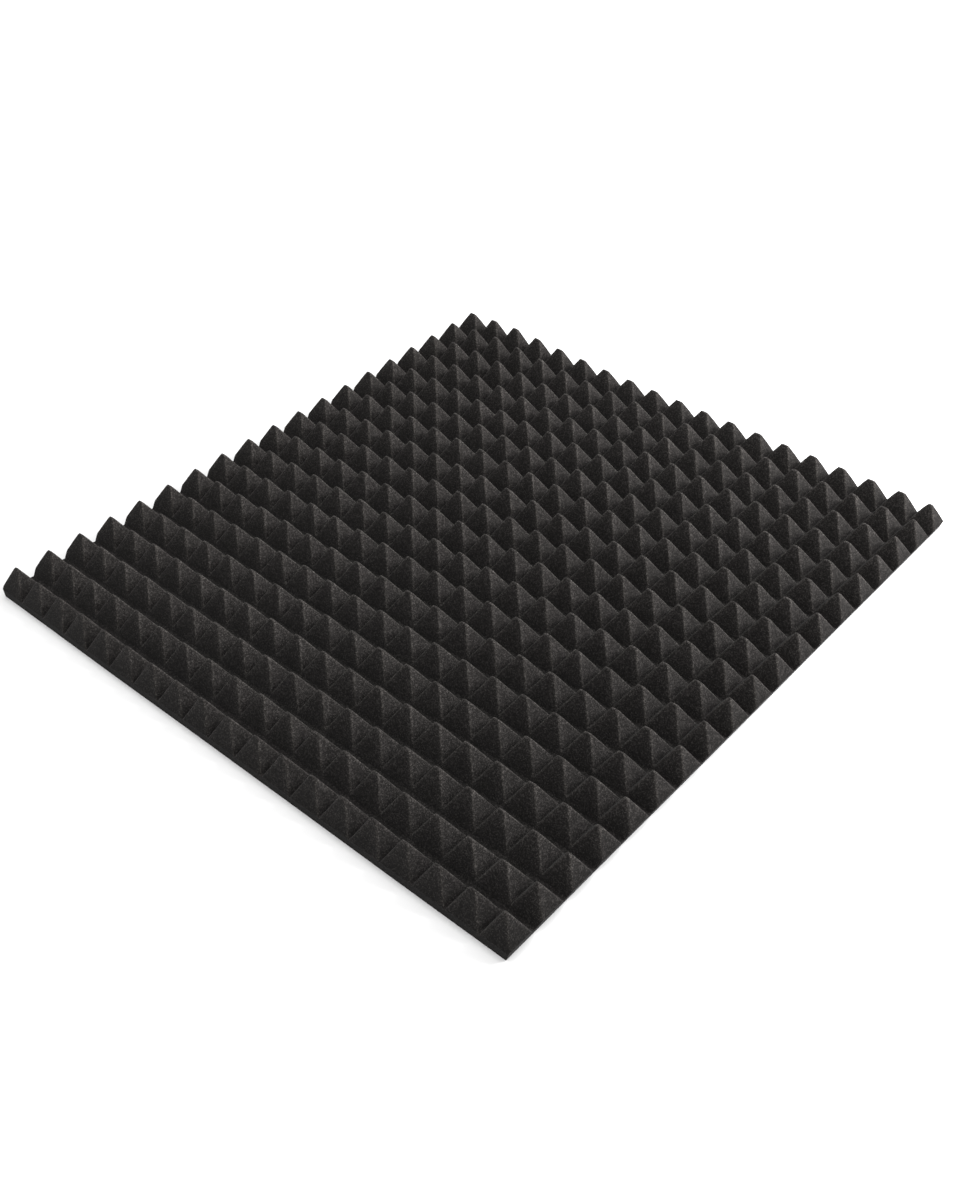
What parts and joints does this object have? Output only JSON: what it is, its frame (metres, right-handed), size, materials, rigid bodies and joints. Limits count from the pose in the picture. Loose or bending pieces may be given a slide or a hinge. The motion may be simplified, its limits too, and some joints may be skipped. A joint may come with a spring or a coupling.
{
  "type": "acoustic foam panel",
  "caption": "Square sheet of soft open-cell sound-absorbing foam with a flat back and a face cut into a close grid of sharp pyramids.",
  "frame": {"origin": "middle of the flat back, which is the face that is glued to a wall or lies on a floor", "axes": "+Z out of the back through the pyramids, +X along the panel's length and along the pyramids' short ridges, +Y along its width"},
  "size_m": [1, 1, 0.05],
  "materials": {
    "foam": "dull open-cell polyurethane foam, charcoal"
  },
  "bodies": {
    "root": {"foam_panel": "foam"}
  },
  "joints": []
}
